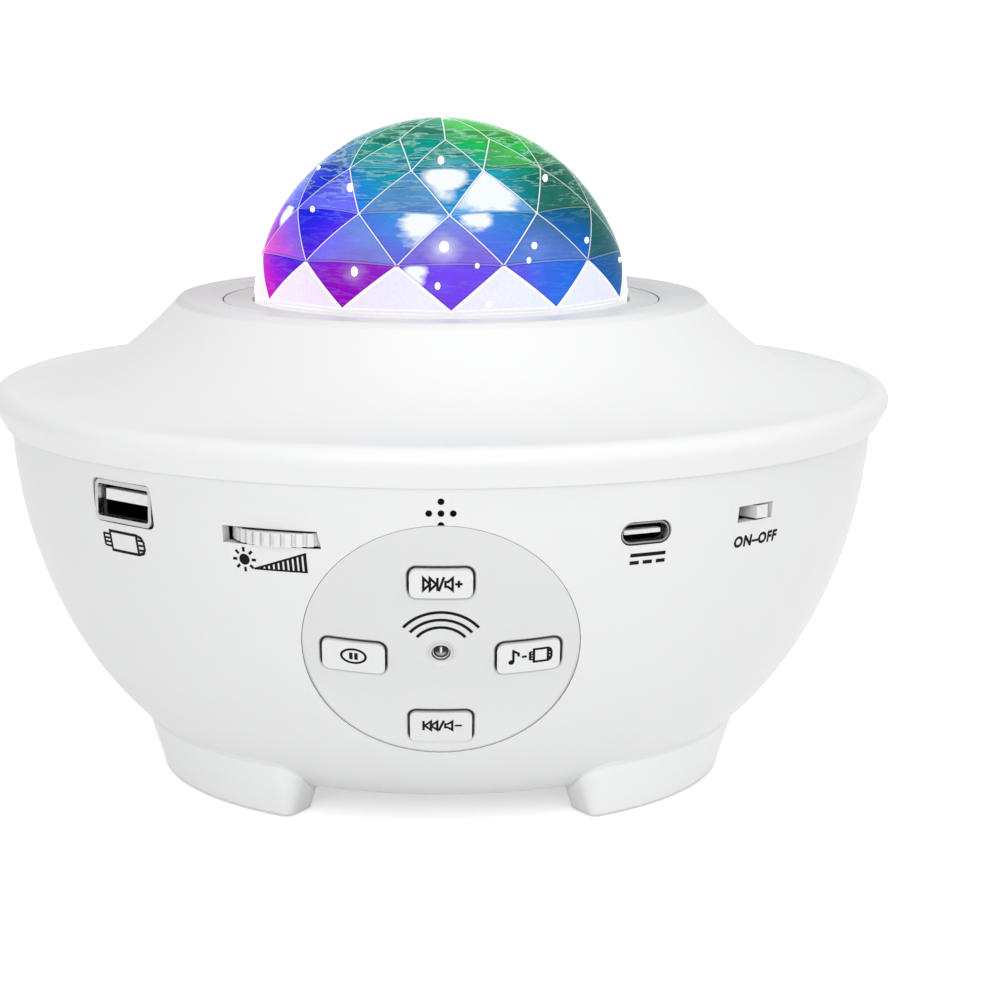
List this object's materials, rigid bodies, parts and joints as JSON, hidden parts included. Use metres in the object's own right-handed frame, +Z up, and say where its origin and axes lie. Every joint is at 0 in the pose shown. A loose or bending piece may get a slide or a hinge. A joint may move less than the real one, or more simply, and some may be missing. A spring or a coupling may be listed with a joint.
{
  "type": "star night light projector",
  "caption": "Round star night light projector: a bowl on feet, a wide saucer cover, a lit faceted dome, front keys, dimmer wheel, slide switch, power inlet and memory stick socket.",
  "frame": {"origin": "centre of the circle through the feet, on the surface that the object stands on", "axes": "+Z up along the dome, -Y out of the control panel at the front, +X to the right as seen from the front"},
  "size_m": [0.1652, 0.1652, 0.1202],
  "materials": {
    "shell_white": "satin white moulding",
    "cover_white": "smooth white moulding",
    "ring_white": "smooth white moulding",
    "dome_clear": "clear faceted plastic",
    "panel_grey": "satin, a little greyer than the bowl",
    "key_white": "satin",
    "window_dark": "dark infrared-passing plastic",
    "port_steel": "plated sheet",
    "tongue_white": "moulded",
    "tongue_black": "moulded",
    "wheel_white": "ridged edge",
    "knob_white": "satin",
    "pad_rubber": "soft matt",
    "base_white": "fine matt moulding",
    "screw_steel": "zinc plated",
    "board_green": "solder mask",
    "board_white": "white solder mask",
    "chip_black": "moulded",
    "emitter_clear": "clear domes",
    "sink_aluminium": "cast",
    "chassis_black": "moulded",
    "motor_steel": "plated can",
    "gear_white": "moulded acetal",
    "disc_clear": "clear moulded",
    "laser_brass": "turned",
    "clamp_black": "moulded",
    "cone_paper": "pressed paper",
    "magnet_steel": "dark plated"
  },
  "bodies": {
    "housing": {"base_cover": "base_white", "base_screws": "screw_steel", "board_chips": "chip_black", "bowl_housing": "shell_white", "button_board": "board_green", "button_board_screws": "screw_steel", "chassis": "chassis_black", "chassis_screws": "screw_steel", "control_panel": "panel_grey", "cover_screws": "screw_steel", "dimmer_base": "chip_black", "dome_lens": "dome_clear", "dome_ring": "ring_white", "dome_ring_screws": "screw_steel", "drive_motor": "motor_steel", "foot_pads": "pad_rubber", "grating_axle": "motor_steel", "heat_sink": "sink_aluminium", "ir_receiver": "chip_black", "ir_window": "window_dark", "laser_clamp": "clamp_black", "laser_module": "laser_brass", "led_board": "board_white", "led_board_screws": "screw_steel", "led_emitters": "emitter_clear", "main_board": "board_green", "main_board_screws": "screw_steel", "microphone": "chip_black", "motor_screws": "screw_steel", "speaker_basket": "clamp_black", "speaker_cone": "cone_paper", "speaker_magnet": "magnet_steel", "speaker_screws": "screw_steel", "switch_body": "chip_black", "tact_switches": "chip_black", "top_cover": "cover_white", "usb_a_shell": "port_steel", "usb_a_tongue": "tongue_white", "usb_c_shell": "port_steel", "usb_c_tongue": "tongue_black", "wave_axle": "motor_steel"},
    "next_button": {"next_button": "key_white"},
    "pause_button": {"pause_button": "key_white"},
    "mode_button": {"mode_button": "key_white"},
    "previous_button": {"previous_button": "key_white"},
    "dimmer_wheel": {"dimmer_wheel": "wheel_white"},
    "switch_knob": {"switch_knob": "knob_white"},
    "wave_disc": {"wave_disc": "disc_clear"},
    "motor_pinion": {"motor_shaft": "motor_steel", "motor_pinion": "gear_white"},
    "grating_wheel": {"grating_wheel": "disc_clear"}
  },
  "joints": [
    {"name": "next_button_press", "type": "slide", "parent": "housing", "child": "next_button", "axis": [0, 0.9121, 0.4099], "range_m": [0, 0.0005], "stiffness_N_per_m": 1000, "springref_m": -0.0005},
    {"name": "pause_button_press", "type": "slide", "parent": "housing", "child": "pause_button", "axis": [0, 0.9121, 0.4099], "range_m": [0, 0.0005], "stiffness_N_per_m": 1000, "springref_m": -0.0005},
    {"name": "mode_button_press", "type": "slide", "parent": "housing", "child": "mode_button", "axis": [0, 0.9121, 0.4099], "range_m": [0, 0.0005], "stiffness_N_per_m": 1000, "springref_m": -0.0005},
    {"name": "previous_button_press", "type": "slide", "parent": "housing", "child": "previous_button", "axis": [0, 0.9121, 0.4099], "range_m": [0, 0.0005], "stiffness_N_per_m": 1000, "springref_m": -0.0005},
    {"name": "switch_slide", "type": "slide", "parent": "housing", "child": "switch_knob", "axis": [0.7443, 0.6678, 0], "range_m": [-0.0027, 0]},
    {"name": "dimmer_turn", "type": "hinge", "parent": "housing", "child": "dimmer_wheel", "pos_m": [-0.02366, -0.06571, 0.0557], "axis": [0, 0, 1], "range_deg": [-135, 135]},
    {"name": "wave_spin", "type": "hinge", "parent": "housing", "child": "wave_disc", "pos_m": [0, 0, 0.0794], "axis": [0, 0, 1], "continuous": true},
    {"name": "pinion_spin", "type": "hinge", "parent": "housing", "child": "motor_pinion", "pos_m": [0.0168, 0.0291, 0.071], "axis": [0, 0, 1], "continuous": true},
    {"name": "grating_spin", "type": "hinge", "parent": "housing", "child": "grating_wheel", "pos_m": [0.00423, 0.02667, 0.0714], "axis": [0, 0, 1], "continuous": true}
  ],
  "couplings": [
    {"joint": "pinion_spin", "follows": "wave_spin", "ratio": -6},
    {"joint": "grating_spin", "follows": "wave_spin", "ratio": 3.6}
  ]
}
